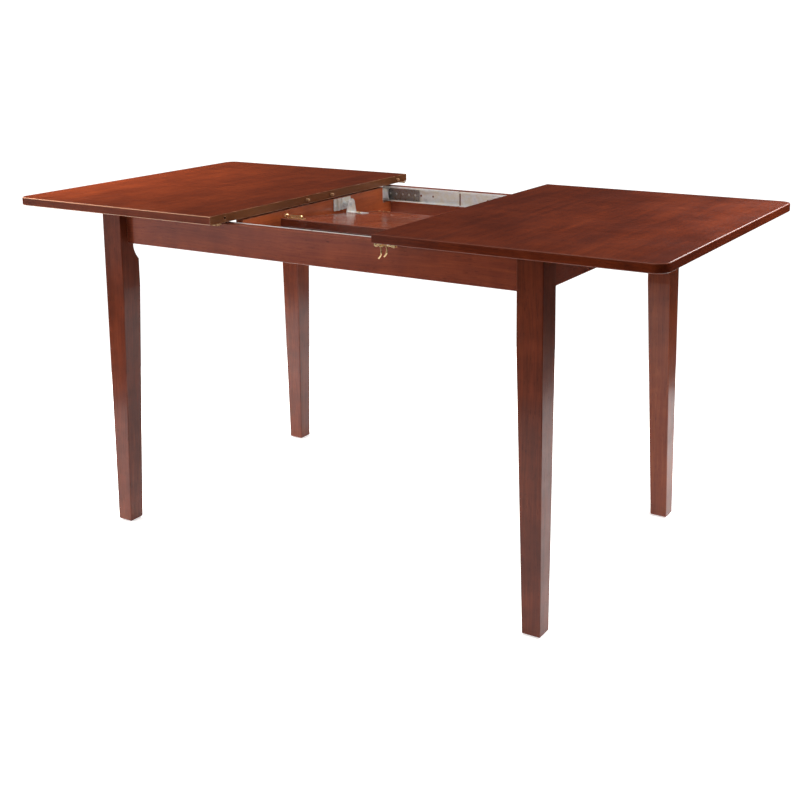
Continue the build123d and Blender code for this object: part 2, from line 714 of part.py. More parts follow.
# ---- the butterfly leaf: drawn as it lies in use, then folded and stowed ----
hinge_x = 148.0
hinge_width = 30.0
hinge_radius = 2.5
hinge_pin = 1.25
flap_gauge = 1.5
flap_height = 13.0
groove_slack = 0.4
knuckle_pitch = 10.0
knuckle_gap = 0.2
hinge_screw_dx = 13.0
hinge_screw_y = 7.5
hinge_head_radius = 2.6
hinge_head_height = 1.2
hinge_screw_x = [side * (hinge_x + n * hinge_screw_dx) for side in (1, -1) for n in (-1, 0, 1)]
swing_radius = 13.0
swing_root = (82.0, 122.0)
swing_flange_end = 140.0
swing_flange_width = 32.0
flange_overlap = 1.0
swing_points = [(side * x, y) for side in (1, -1) for x, y in ((166.0, 94.0), (150.0, 110.0))]


def leaf_half(side, left_holes, left_pins, screw_points):
    """Half of the leaf on one side of the middle: side is +1 for the rear half."""
    with BuildPart() as half:
        with Locations((0, side * fold_gap, underside)):
            Box(leaf_width, half_depth - fold_gap, top_thick,
                align=(Align.CENTER, Align.MIN if side > 0 else Align.MAX, Align.MIN))
        outer = half.edges().filter_by(Axis.X).sort_by(Axis.Y)
        fillet(outer[-2:] if side > 0 else outer[:2], edge_radius)
        # the hinges are let into the meeting edge, with a groove for the knuckles
        for x in (hinge_x, -hinge_x):
            with Locations((x, 0, table_height)):
                Box(hinge_width, 2 * (flap_gauge + fold_gap), 2 * flap_height, mode=Mode.SUBTRACT)
            with Locations(Plane((x, 0, table_height + fold_gap), z_dir=(1, 0, 0))):
                Cylinder(hinge_radius + groove_slack, hinge_width, mode=Mode.SUBTRACT)
        dowel_sockets(-half_leaf, -1, left_holes, dowel_radius + dowel_clearance, dowel_out + socket_spare)
        dowel_sockets(-half_leaf, -1, left_pins, dowel_radius, dowel_in)
        dowel_sockets(half_leaf, 1, left_pins, dowel_radius + dowel_clearance, dowel_out + socket_spare)
        dowel_sockets(half_leaf, 1, left_holes, dowel_radius, dowel_in)
        pilot_holes(under_top, [(x, -side * hinge_screw_y) for x in hinge_screw_x])
        pilot_holes(under_top, [(x, -y) for x, y in screw_points])
    return half.part


def leaf_catch_points(side):
    return points_at(-half_leaf, side, base_screws) + points_at(half_leaf, side, keeper_screws)


rear_points = leaf_catch_points(1) + swing_points
front_points = leaf_catch_points(-1)
rear_half = leaf_half(1, (dowel_inner_y, dowel_outer_y), (), rear_points)
front_half = leaf_half(-1, (-dowel_inner_y,), (-dowel_outer_y,), front_points)
finish(stow(rear_half), "leaf_rear_half")
finish(stow(fold(front_half)), "leaf_front_half")


def hinge_flap(side, knuckles):
    """Flaps of both hinges on one half: side is +1 for the rear half."""
    with BuildPart() as flaps:
        for x in (hinge_x, -hinge_x):
            with Locations((x, side * fold_gap, table_height + fold_gap)):
                Box(hinge_width, flap_gauge, flap_height + fold_gap,
                    align=(Align.CENTER, Align.MIN if side > 0 else Align.MAX, Align.MAX))
            for n in (-1, 0, 1):
                knuckle_x = x + n * knuckle_pitch
                with Locations(Plane((knuckle_x, 0, table_height + fold_gap), z_dir=(1, 0, 0))):
                    if n in knuckles:
                        Cylinder(hinge_radius, hinge_width / 3 - knuckle_gap)
                    else:
                        Cylinder(hinge_radius + knuckle_gap, hinge_width / 3 + knuckle_gap, mode=Mode.SUBTRACT)
            with Locations(Plane((x, 0, table_height + fold_gap), z_dir=(1, 0, 0))):
                Cylinder(hinge_pin + running_gap, hinge_width, mode=Mode.SUBTRACT)
    return flaps.part


rear_flaps = stow(hinge_flap(1, (-1, 1)))
front_flaps = stow(fold(hinge_flap(-1, (0,))))
finish(Compound(children=[*rear_flaps.solids(), *front_flaps.solids()]), "leaf_hinges")

with BuildPart() as hinge_pins:
    for x in (hinge_x, -hinge_x):
        with Locations(Plane((x, 0, table_height + fold_gap), z_dir=(1, 0, 0))):
            Cylinder(hinge_pin, hinge_width)
finish(stow(hinge_pins.part), "leaf_hinge_pins")

with BuildPart() as swing_plates:
    with BuildSketch(Plane.YZ.offset(swing_plate_x)):
        with Locations((pivot_y, pivot_z)):
            Circle(swing_radius)
        with BuildLine():
            Polyline((pivot_y - swing_radius, pivot_z), (pivot_y + swing_radius, pivot_z),
                     (swing_root[1], underside), (swing_root[0], underside), close=True)
        make_face()
        with Locations((pivot_y, pivot_z)):
            Circle(pin_radius + running_gap, mode=Mode.SUBTRACT)
    extrude(amount=pivot_gauge)
    flange_x = (swing_flange_end + swing_plate_x + flange_overlap) / 2
    with Locations((flange_x, sum(swing_root) / 2, underside)):
        Box(swing_plate_x - swing_flange_end + flange_overlap, swing_flange_width, bracket_gauge,
            align=high_end)
    plate_holes(under_top, [(x, -y) for x, y in swing_points if x > 0], bracket_gauge)
    mirror(about=Plane.YZ)
finish(stow(swing_plates.part), "swing_plates")

with BuildPart() as leaf_screws:
    screws(under_top, [(x, -y) for x, y in swing_points], bracket_gauge)
    screws(under_top, [(x, -y) for x, y in leaf_catch_points(1)], plate_gauge)
with BuildPart() as front_leaf_screws:
    screws(under_top, [(x, -y) for x, y in leaf_catch_points(-1)], plate_gauge)
stowed_screws = [*stow(leaf_screws.part).solids(), *stow(fold(front_leaf_screws.part)).solids()]
finish(Compound(children=stowed_screws), "leaf_screws")


def hinge_screws(side):
    with BuildPart() as made:
        for x in hinge_screw_x:
            with Locations(under_top * Location((x, -side * hinge_screw_y, 0))):
                Cylinder(hinge_head_radius, hinge_head_height, align=low_end)
                Cylinder(screw_shank, screw_length, align=high_end)
    return made.part


rear_set = stow(hinge_screws(1)).solids()
front_set = stow(fold(hinge_screws(-1))).solids()
finish(Compound(children=[*rear_set, *front_set]), "leaf_hinge_screws")

with BuildPart() as rear_leaf_dowels:
    dowels(half_leaf, 1, (dowel_inner_y, dowel_outer_y))
with BuildPart() as front_leaf_dowels:
    dowels(half_leaf, 1, (-dowel_inner_y,))
    dowels(-half_leaf, -1, (-dowel_outer_y,))
leaf_dowels = [*stow(rear_leaf_dowels.part).solids(), *stow(fold(front_leaf_dowels.part)).solids()]
finish(Compound(children=leaf_dowels), "leaf_dowels")

rear_place, front_place = catch_places(-half_leaf)
rear_edge, front_edge = catch_places(half_leaf)
rear_plates = [stow(rear_place * catch_base()), stow(rear_edge * keeper())]
front_plates = [stow(fold(front_place * catch_base())), stow(fold(front_edge * keeper()))]
finish(Compound(children=rear_plates + front_plates), "leaf_catch_plates")
finish(stow(rear_place * catch_arm(False)), "leaf_rear_catch_arm")
finish(stow(fold(front_place * catch_arm(False))), "leaf_front_catch_arm")
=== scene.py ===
import math
import bpy
from mathutils import Matrix, Vector


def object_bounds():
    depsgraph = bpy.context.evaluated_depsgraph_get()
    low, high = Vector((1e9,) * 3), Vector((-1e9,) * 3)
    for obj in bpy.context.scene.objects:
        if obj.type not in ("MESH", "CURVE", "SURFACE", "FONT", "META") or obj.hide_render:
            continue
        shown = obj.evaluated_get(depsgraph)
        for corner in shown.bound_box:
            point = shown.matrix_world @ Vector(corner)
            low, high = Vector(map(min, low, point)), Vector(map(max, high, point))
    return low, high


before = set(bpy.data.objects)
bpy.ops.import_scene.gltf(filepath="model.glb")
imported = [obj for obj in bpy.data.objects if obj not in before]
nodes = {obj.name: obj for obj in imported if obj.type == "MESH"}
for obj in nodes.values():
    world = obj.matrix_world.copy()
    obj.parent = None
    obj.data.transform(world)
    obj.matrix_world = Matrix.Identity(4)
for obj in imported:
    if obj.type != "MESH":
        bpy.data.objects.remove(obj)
cadBox = [list(corner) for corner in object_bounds()]
scene = bpy.context.scene


# a camera at chest height, off the table's front right corner
cameraLook = {
    "place": (1.476, -2.272, 1.157),   # metres
    "turn": 32.63,                     # degrees to the left of straight back
    "tilt": 10.63,                     # degrees down
    "roll": -0.68,
    "lens": 56.03,                     # mm
    "sensor": 36.0,                    # mm
    "shift": (0.0, -0.20),             # keeps the legs close to upright
    "reach": 600.0,                    # metres
}


def makeCamera(look):
    data = bpy.data.cameras.new("tableCamera")
    data.sensor_width = look["sensor"]
    data.lens = look["lens"]
    data.shift_x, data.shift_y = look["shift"]
    data.clip_end = look["reach"]
    camera = bpy.data.objects.new("tableCamera", data)
    scene.collection.objects.link(camera)
    turn, tilt, roll = (math.radians(look[key]) for key in ("turn", "tilt", "roll"))
    aim = Matrix.Rotation(turn, 4, "Z") @ Matrix.Rotation(math.pi / 2 - tilt, 4, "X")
    camera.matrix_world = Matrix.Translation(look["place"]) @ aim @ Matrix.Rotation(roll, 4, "Z")
    scene.camera = camera


makeCamera(cameraLook)
scene.view_settings.view_transform = "Standard"   # stain colours come out as mixed
print("camera set")


def linear(hexColour):
    # sRGB hex to the linear colour that the shader sockets take
    channels = [int(hexColour[i:i + 2], 16) / 255 for i in (1, 3, 5)]
    return tuple(c / 12.92 if c <= 0.04045 else ((c + 0.055) / 1.055) ** 2.4 for c in channels) + (1.0,)


def addNode(tree, kind, settings=None, links=None):
    # a setting goes to the socket of that name or number, or else it is one of the node's own properties
    node = tree.nodes.new(kind)
    for key, value in (settings or {}).items():
        if key == "ramp":
            stops = node.color_ramp.elements
            while len(stops) < len(value):
                stops.new(0.5)
            for stop, (place, colour) in zip(stops, value):
                stop.position = place
                stop.color = linear(colour) if isinstance(colour, str) else (colour, colour, colour, 1.0)
        elif isinstance(key, int) or key in node.inputs:
            node.inputs[key].default_value = value
        else:
            setattr(node, key, value)
    for key, source in (links or {}).items():
        tree.links.new(source, node.inputs[key])
    return node


def startMaterial(name):
    material = bpy.data.materials.new(name)
    material.use_nodes = True
    material.node_tree.nodes.clear()
    return material, material.node_tree


def paint(material, *names):
    for name in names:
        slots = nodes[name].data.materials
        if len(slots) == 0:
            slots.append(material)
        for number in range(len(slots)):
            slots[number] = material


def alongGrain(tree, vector, grain):
    # grain is an axis letter: the piece is turned so that its grain runs along the pattern's X
    axes = addNode(tree, "ShaderNodeSeparateXYZ", None, {"Vector": vector})
    order = {"X": "XYZ", "Y": "YXZ", "Z": "ZXY"}[grain]
    sources = {to: axes.outputs[source] for to, source in zip("XYZ", order)}
    return addNode(tree, "ShaderNodeCombineXYZ", None, sources).outputs["Vector"]


def span(values, results=(0.0, 1.0)):
    # settings that turn one span of values into another
    return {"From Min": values[0], "From Max": values[1], "To Min": results[0], "To Max": results[1]}


def inSize(tree, vector, size):
    # a pattern drawn on this repeats at a real size, in mm along the grain and across it
    along, across = size
    perMetre = (1000 / along, 1000 / across, 1000 / across)
    scaled = addNode(tree, "ShaderNodeVectorMath", {"operation": "MULTIPLY", 1: perMetre}, {0: vector})
    return {"Vector": scaled.outputs["Vector"]}


# Dye-stained rubberwood under clear lacquer. Sawn boards, spray-stained, sealed and sprayed with a
# satin-gloss coat: the eye gets a red-brown that varies softly from board to board, short dark pores along
# the grain, paler arrises where sanding cut through the stain, lightened further by a painted highlight,
# painted shade on the leaf's edge faces, and a soft even shine.
woodLook = {
    "blotch": (260, 120),      # mm, patches where the stain took deeper
    "figure": (520, 17),       # mm, growth-ring bands
    "fibre": (110, 3.2),       # mm, fibre bundles, drawn three times coarser than the real 1 mm
    "pore": (16, 1.5),         # mm, vessel lines, drawn at 1.5 mm because the real 0.3 mm wouldn't show
    "cloud": (42, 75),         # mm, curl across the grain
    "sway": 322.6,             # mm, how often the grain wanders off straight
    "swayReach": 0.030,        # metres
    "peel": 2.4,               # mm, orange peel of the sprayed lacquer
    "haze": 111.1,             # mm, patches of duller lacquer
    "poreDepth": 0.00010,      # metres
    "peelDepth": 0.00001,      # metres
    "bump": 0.6,
    "shares": {"blotch": 0.46, "figure": 0.34, "fibre": 0.40, "cloud": 0.30},   # of each in the stain's depth
    "steps": (0.18, 0.42, 0.60, 0.84),   # where the four stain colours lie in that depth
    "poreOpens": (0.60, 0.72),   # pattern value where a pore starts, and where it is full of stain
    "poreShare": 0.55,         # how much darker the pores are
    "arris": 0.0022,           # metres, how far in from an edge the stain is thin and the painted highlight lies
    "arrisTurn": (0.985, 0.80),   # cosine of the rounding there, from untouched to sanded through
    "arrisShare": 0.75,
    "rubs": 16.667,            # mm, how unevenly the edges were sanded
    "rubSpan": (0.38, 0.62),
    "rubLeast": 0.25,          # wear where the sanding was lightest
    "sawnTurn": (0.80, 0.95),  # cosines again, from a face that turns away to one that is the sawn edge
    "sawnShare": 0.62,
    "highlightRise": (0.20, 0.55),    # cosines for the painted arris highlight, from the upright middle of a rounded edge ... ... to where it runs out into the top
    "highlightFall": (0.995, 0.90),   # ... to where it runs out into the top
    "highlightShare": 0.62,
    "sideTurn": (0.90, 0.50),     # from a level face to an edge face
    "backTurn": (-0.80, -0.95),   # from a slope to the underneath
    "lippingTurn": 0.70,          # what faces front or rear more than this is lipping
    "ior": 1.5,
    "roughness": 0.42,
    "hazeSpan": (0.35, 0.65),
    "hazeRoughness": (-0.07, 0.08),   # added where the lacquer is clear, and where it is hazy
    "poreRoughness": 0.18,     # added in the pores
    "backRoughness": 0.28,     # added underneath
    "spray": 142.9,            # mm, patches in the thin coat underneath
    "coatRoughness": 0.16,
}

# how a board was finished, unless its own line says otherwise
boardFinish = {
    "coat": 0.60,
    "specular": 0.12,
    "seed": (0.0, 0.0, 0.0),   # metres, which part of the pattern it was cut from
    "lean": 0.0,               # degrees, for a board that lies tilted
    "sawnSide": 0,             # X direction of an edge that was cut and stained last
    "underneath": False,       # a panel with a duller back
    "lipping": False,          # a solid strip along front and rear, with its own grain
    "edgeShade": 0.0,           # how much painted shade darkens the edge faces, together with the deeper stain their open grain takes
}


def edgeWearAndHighlight(tree, look, board, colour, colours):
    # sanded-through arrises, stronger in some places than in others; the lighter arris colour is partly wear
    # and partly a painted highlight for the glare on the edges
    rounded = addNode(tree, "ShaderNodeBevel", {"samples": 4, "Radius": look["arris"]})
    surface = addNode(tree, "ShaderNodeNewGeometry")
    agree = addNode(tree, "ShaderNodeVectorMath", {"operation": "DOT_PRODUCT"},
                    {0: rounded.outputs["Normal"], 1: surface.outputs["Normal"]})
    edge = addNode(tree, "ShaderNodeMapRange",
                   span(look["arrisTurn"], (0.0, look["arrisShare"])), {"Value": agree.outputs["Value"]})
    uneven = addNode(tree, "ShaderNodeTexNoise", {"Scale": 1000 / look["rubs"], "Detail": 3.0},
                     {"Vector": board})
    rubbed = addNode(tree, "ShaderNodeMapRange", span(look["rubSpan"], (look["rubLeast"], 1.0)),
                     {"Value": uneven.outputs["Fac"]})
    share = addNode(tree, "ShaderNodeMath", {"operation": "MULTIPLY"},
                    {0: edge.outputs["Result"], 1: rubbed.outputs["Result"]})
    mix = addNode(tree, "ShaderNodeMix", {"data_type": "RGBA", 7: linear(colours["arris"])},
                  {0: share.outputs["Value"], 6: colour})
    return mix.outputs[2]


def sawnEdge(tree, look, facing, side, colour, colours):
    # the meeting edge was cut after staining and wiped with a thinner, browner coat
    toSide = addNode(tree, "ShaderNodeMath", {"operation": "MULTIPLY", 1: side}, {0: facing.outputs["X"]})
    sawn = addNode(tree, "ShaderNodeMapRange", span(look["sawnTurn"], (0.0, look["sawnShare"])),
                   {"Value": toSide.outputs["Value"]})
    mix = addNode(tree, "ShaderNodeMix", {"data_type": "RGBA", 7: linear(colours["sawn"])},
                  {0: sawn.outputs["Result"], 6: colour})
    return mix.outputs[2]


def arrisHighlight(tree, look, flat, colour, colours):
    # painted highlight: lightens the middle of the tops' rounded-over edge towards the arris colour, standing
    # in for the glare that edge catches
    rise = addNode(tree, "ShaderNodeMapRange", span(look["highlightRise"]), {"Value": flat.outputs["Value"]})
    fall = addNode(tree, "ShaderNodeMapRange", span(look["highlightFall"], (0.0, look["highlightShare"])),
                   {"Value": flat.outputs["Value"]})
    share = addNode(tree, "ShaderNodeMath", {"operation": "MULTIPLY"},
                    {0: rise.outputs["Result"], 1: fall.outputs["Result"]})
    mix = addNode(tree, "ShaderNodeMix", {"data_type": "RGBA", 7: linear(colours["arris"])},
                  {0: share.outputs["Value"], 6: colour})
    return mix.outputs[2]


def paintedEdgeShade(tree, look, flat, shadeDepth, colour, colours):
    # painted shade: darkens the edge faces towards the pore colour, standing in for the shade in the leaf's
    # well, together with the deeper stain their open grain drinks
    side = addNode(tree, "ShaderNodeMapRange", span(look["sideTurn"], (0.0, shadeDepth)),
                   {"Value": flat.outputs["Value"]})
    mix = addNode(tree, "ShaderNodeMix", {"data_type": "RGBA", 7: linear(colours["pore"])},
                  {0: side.outputs["Result"], 6: colour})
    return mix.outputs[2]


def thinBack(tree, look, board, facing, colour, colours, rough):
    # the back has one thin coat: darker, drier and unevenly sprayed
    back = addNode(tree, "ShaderNodeMapRange", span(look["backTurn"]), {"Value": facing.outputs["Z"]})
    spray = addNode(tree, "ShaderNodeTexNoise", {"Scale": 1000 / look["spray"], "Detail": 3.0},
                    {"Vector": board})
    thin = addNode(tree, "ShaderNodeMath", {"operation": "MULTIPLY"},
                   {0: back.outputs["Result"], 1: spray.outputs["Fac"]})
    mix = addNode(tree, "ShaderNodeMix", {"data_type": "RGBA", 7: linear(colours["pore"])},
                  {0: thin.outputs["Value"], 6: colour})
    dry = addNode(tree, "ShaderNodeMath", {"operation": "MULTIPLY_ADD", 1: look["backRoughness"]},
                  {0: back.outputs["Result"], 2: rough})
    return mix.outputs[2], dry.outputs["Value"]


def stainedWood(name, colours, grain, look=woodLook, **own):
    finish = dict(boardFinish, **own)
    material, tree = startMaterial(name)
    place = addNode(tree, "ShaderNodeTexCoord")
    laid = {"Rotation": (math.radians(finish["lean"]), 0, 0), "Location": finish["seed"]}
    level = addNode(tree, "ShaderNodeMapping", laid, {"Vector": place.outputs["Object"]})
    board = alongGrain(tree, level.outputs["Vector"], grain)
    facing = addNode(tree, "ShaderNodeSeparateXYZ", None, {"Vector": place.outputs["Normal"]})
    flat = addNode(tree, "ShaderNodeMath", {"operation": "ABSOLUTE"}, {0: facing.outputs["Z"]})
    if finish["lipping"]:
        frontal = addNode(tree, "ShaderNodeMath", {"operation": "ABSOLUTE"}, {0: facing.outputs["Y"]})
        strip = addNode(tree, "ShaderNodeMath", {"operation": "GREATER_THAN", 1: look["lippingTurn"]},
                        {0: frontal.outputs["Value"]})
        board = addNode(tree, "ShaderNodeMix", {"data_type": "VECTOR"},
                        {0: strip.outputs["Value"], 4: board, 5: level.outputs["Vector"]}).outputs[1]

    # the grain wanders a few mm off straight
    sway = addNode(tree, "ShaderNodeTexNoise", {"Scale": 1000 / look["sway"], "Detail": 2.0},
                   {"Vector": board})
    swayed = addNode(tree, "ShaderNodeVectorMath",
                     {"operation": "MULTIPLY_ADD", 1: (0.0, look["swayReach"], look["swayReach"])},
                     {0: sway.outputs["Color"], 2: board}).outputs["Vector"]
    patterns = {}
    for key, detail in (("blotch", 3.0), ("figure", 4.0), ("fibre", 3.0), ("pore", 2.0), ("cloud", 3.0)):
        patterns[key] = addNode(tree, "ShaderNodeTexNoise",
                                {"Scale": 1.0, "Detail": detail, "Roughness": 0.55},
                                inSize(tree, swayed, look[key])).outputs["Fac"]

    # one value from deep stain to lifted stain
    total = None
    for key, weight in look["shares"].items():
        lift = addNode(tree, "ShaderNodeMath", {"operation": "SUBTRACT", 1: 0.5}, {0: patterns[key]})
        share = addNode(tree, "ShaderNodeMath", {"operation": "MULTIPLY_ADD", 1: weight, 2: 0.5},
                        {0: lift.outputs["Value"]})
        if total is not None:
            tree.links.new(total, share.inputs[2])
        total = share.outputs["Value"]
    mixed = [colours[key] for key in ("deep", "body", "warm", "lifted")]
    stain = addNode(tree, "ShaderNodeValToRGB", {"ramp": list(zip(look["steps"], mixed))}, {"Fac": total})

    # open pores hold more stain
    pores = addNode(tree, "ShaderNodeMapRange", span(look["poreOpens"]), {"Value": patterns["pore"]})
    poreShare = addNode(tree, "ShaderNodeMath", {"operation": "MULTIPLY", 1: look["poreShare"]},
                        {0: pores.outputs["Result"]})
    poreMix = addNode(tree, "ShaderNodeMix", {"data_type": "RGBA", 7: linear(colours["pore"])},
                      {0: poreShare.outputs["Value"], 6: stain.outputs["Color"]})
    colour = poreMix.outputs[2]

    # lacquer: rougher over pores, polished in hazy patches
    haze = addNode(tree, "ShaderNodeTexNoise", {"Scale": 1000 / look["haze"], "Detail": 4.0},
                   {"Vector": board})
    hazed = [look["roughness"] + change for change in look["hazeRoughness"]]
    sheen = addNode(tree, "ShaderNodeMapRange", span(look["hazeSpan"], hazed), {"Value": haze.outputs["Fac"]})
    rough = addNode(tree, "ShaderNodeMath", {"operation": "MULTIPLY_ADD", 1: look["poreRoughness"]},
                    {0: pores.outputs["Result"], 2: sheen.outputs["Result"]}).outputs["Value"]

    if finish["sawnSide"]:
        colour = sawnEdge(tree, look, facing, finish["sawnSide"], colour, colours)
    colour = edgeWearAndHighlight(tree, look, board, colour, colours)
    if finish["lipping"]:
        # painted highlight along the tops' rounded arrises
        colour = arrisHighlight(tree, look, flat, colour, colours)
    if finish["edgeShade"]:
        colour = paintedEdgeShade(tree, look, flat, finish["edgeShade"], colour, colours)
    if finish["underneath"]:
        colour, rough = thinBack(tree, look, board, facing, colour, colours, rough)

    peel = addNode(tree, "ShaderNodeTexNoise", {"Scale": 1000 / look["peel"], "Detail": 1.0},
                   {"Vector": board})
    peelBump = addNode(tree, "ShaderNodeBump", {"Strength": look["bump"], "Distance": look["peelDepth"]},
                       {"Height": peel.outputs["Fac"]})
    hollow = addNode(tree, "ShaderNodeMath", {"operation": "MULTIPLY_ADD", 1: -1.0},
                     {0: pores.outputs["Result"], 2: patterns["fibre"]})
    grainBump = addNode(tree, "ShaderNodeBump", {"Strength": look["bump"], "Distance": look["poreDepth"]},
                        {"Height": hollow.outputs["Value"], "Normal": peelBump.outputs["Normal"]})

    shader = addNode(tree, "ShaderNodeBsdfPrincipled",
                     {"IOR": look["ior"], "Specular IOR Level": finish["specular"],
                      "Coat Weight": finish["coat"], "Coat Roughness": look["coatRoughness"],
                      "Coat IOR": look["ior"]},
                     {"Base Color": colour, "Roughness": rough,
                      "Normal": grainBump.outputs["Normal"], "Coat Normal": peelBump.outputs["Normal"]})
    addNode(tree, "ShaderNodeOutputMaterial", None, {"Surface": shader.outputs["BSDF"]})
    return material


# stain mixes, from the deepest patch to the thinnest
stains = {
    # the left top's pale arris colour is sanded-through wear lightened further by a painted highlight for the
    # glare on its front edge; the right top's darker arris has no such highlight
    "leftTop": {"deep": "#3d1508", "body": "#4c1c0b", "warm": "#5c240e", "lifted": "#733213",
                "pore": "#280c07", "arris": "#c29274", "sawn": "#644127"},
    "rightTop": {"deep": "#3a1408", "body": "#48190a", "warm": "#5a220d", "lifted": "#733214",
                 "pore": "#200905", "arris": "#6e3827", "sawn": "#5c3b27"},
    "leaf": {"deep": "#4e1b0c", "body": "#672811", "warm": "#7b3417", "lifted": "#954722",
             "pore": "#36120a", "arris": "#c08a64"},
    "rail": {"deep": "#4a1d13", "body": "#642b1b", "warm": "#76351f", "lifted": "#90482b",
             "pore": "#2c0f0b", "arris": "#b88468"},
    "crossRail": {"deep": "#612813", "body": "#7c391c", "warm": "#904523", "lifted": "#a85a30",
                  "pore": "#331108", "arris": "#b88468"},
    "frontLeg": {"deep": "#39150b", "body": "#4c1e0f", "warm": "#5e2815", "lifted": "#773920",
                 "pore": "#240a06", "arris": "#97593f"},
    "rearLeg": {"deep": "#3e180d", "body": "#562311", "warm": "#682e17", "lifted": "#814022",
                "pore": "#2a0d08", "arris": "#a86b50"},
}
topFinish = {"coat": 0.30, "specular": 0.04, "underneath": True, "lipping": True}
# the leaf's darker edge faces are painted shade from its well, together with the deeper stain of their open
# grain
leafFinish = {"coat": 0.7, "lean": 5.7, "edgeShade": 0.7}   # lean is how far off level it lies in its well

# material, stain mix, grain axis, the pieces, and how their finish differs from boardFinish
boards = [
    ("stainedRubberwoodLeftTop", "leftTop", "Y", ["left_top"],
     dict(topFinish, seed=(0.3, 0.0, 0.0), sawnSide=1)),
    ("stainedRubberwoodRightTop", "rightTop", "Y", ["right_top"],
     dict(topFinish, seed=(1.7, 0.4, 0.0), sawnSide=-1)),
    ("stainedRubberwoodLeafRear", "leaf", "Y", ["leaf_rear_half"], dict(leafFinish, seed=(2.9, 0.1, 0.2))),
    ("stainedRubberwoodLeafFront", "leaf", "Y", ["leaf_front_half"], dict(leafFinish, seed=(4.3, 0.7, 0.2))),
    ("stainedRubberwoodLongRails", "rail", "X", ["front_apron", "rear_apron", "leaf_rest_batten"], {}),
    ("stainedRubberwoodEndRails", "rail", "Y", ["left_end_apron", "right_end_apron"], {}),
    ("stainedRubberwoodCrossRails", "crossRail", "Y", ["left_cross_rail", "right_cross_rail"], {}),
    ("stainedRubberwoodFrontLegs", "frontLeg", "Z", ["front_left_leg", "front_right_leg"], {"coat": 0.28}),
    ("stainedRubberwoodRearLegs", "rearLeg", "Z", ["rear_left_leg", "rear_right_leg"], {"coat": 0.42}),
]
for name, stain, grain, pieces, own in boards:
    paint(stainedWood(name, stains[stain], grain, **own), *pieces)
print("stained wood done")


# Zinc-plated steel, cold-rolled strip that is pressed and then plated: a cool grey shine with faint drawn
# lines along the strip, hazier where the plating is thick, and small bright scuffs where the balls rub.
zincLook = {
    "drawn": (38, 0.9),        # mm, rolling lines, drawn coarser than the real 0.1 mm
    "haze": 22.0,              # mm
    "scuff": (9, 1.6),         # mm
    "scuffSpan": (0.62, 0.78),
    "scuffShare": 0.7,
    "drawnShare": 0.35,        # how far the lines shift the tone
    "drawnDepth": 0.00002,     # metres
    "bump": 0.5,
    "roughness": 0.40,
    "hazeSpan": (0.30, 0.70),
    "hazeRoughness": (-0.08, 0.12),   # added where the plating is thin, and where it is thick
    "metallic": 0.62,          # the matt passivated film hides part of the metal's shine
    "tones": ("#c6c9ca", "#e4e6e7", "#ddd8cc"),
    "steps": (0.45, 0.62, 0.78),   # where the three tones lie in the haze
    "scuffed": "#eceeef",
}
# Unplated strip punched for the balls and packed with grease: a smeared grey, darker than the channel
# behind it partly from the grease and partly as painted shade for the shadow inside the slide.
cageGreaseAndShadeLook = dict(zincLook, haze=6.0, scuff=(5, 3), roughness=0.34, metallic=0.8,
                tones=("#6f7274", "#a0a4a6", "#8c877a"), scuffed="#ced2d4")
# Polished bearing steel under a film of grease: darker and glassier than the plate around it.
ballLook = dict(zincLook, drawn=(3, 3), haze=3.0, scuff=(4, 4), roughness=0.14, metallic=1.0,
                tones=("#8f9193", "#b9bbbd", "#a9a496"), scuffed="#d4d6d7")
# Brass plate on stamped steel: a pale yellow shine, pinker where the lacquer over it has browned.
brassLook = dict(zincLook, drawn=(14, 0.8), haze=9.0, scuff=(5, 1.2), roughness=0.30, metallic=0.80,
                 tones=("#cba873", "#e8cb98", "#d8ae80"), scuffed="#f4e2ba")


def plated(name, look, grain="X"):
    material, tree = startMaterial(name)
    place = addNode(tree, "ShaderNodeTexCoord")
    strip = alongGrain(tree, place.outputs["Object"], grain)
    drawn = addNode(tree, "ShaderNodeTexNoise",
                    {"Scale": 1.0, "Detail": 3.0}, inSize(tree, strip, look["drawn"]))
    haze = addNode(tree, "ShaderNodeTexNoise",
                   {"Scale": 1000 / look["haze"], "Detail": 4.0, "Roughness": 0.6},
                   {"Vector": strip})
    scuff = addNode(tree, "ShaderNodeTexNoise", {"Scale": 1.0, "Detail": 4.0, "Roughness": 0.7},
                    inSize(tree, strip, look["scuff"]))
    scuffed = addNode(tree, "ShaderNodeMapRange", span(look["scuffSpan"], (0.0, look["scuffShare"])),
                      {"Value": scuff.outputs["Fac"]})

    tone = addNode(tree, "ShaderNodeMath", {"operation": "MULTIPLY_ADD", 1: look["drawnShare"]},
                   {0: drawn.outputs["Fac"], 2: haze.outputs["Fac"]})
    plate = addNode(tree, "ShaderNodeValToRGB", {"ramp": list(zip(look["steps"], look["tones"]))},
                    {"Fac": tone.outputs["Value"]})
    worn = addNode(tree, "ShaderNodeMix", {"data_type": "RGBA", 7: linear(look["scuffed"])},
                   {0: scuffed.outputs["Result"], 6: plate.outputs["Color"]})
    hazed = [look["roughness"] + change for change in look["hazeRoughness"]]
    matt = addNode(tree, "ShaderNodeMapRange", span(look["hazeSpan"], hazed), {"Value": haze.outputs["Fac"]})
    bump = addNode(tree, "ShaderNodeBump", {"Strength": look["bump"], "Distance": look["drawnDepth"]},
                   {"Height": drawn.outputs["Fac"]})
    shader = addNode(tree, "ShaderNodeBsdfPrincipled", {"Metallic": look["metallic"]},
                     {"Base Color": worn.outputs[2], "Roughness": matt.outputs["Result"],
                      "Normal": bump.outputs["Normal"]})
    addNode(tree, "ShaderNodeOutputMaterial", None, {"Surface": shader.outputs["BSDF"]})
    return material


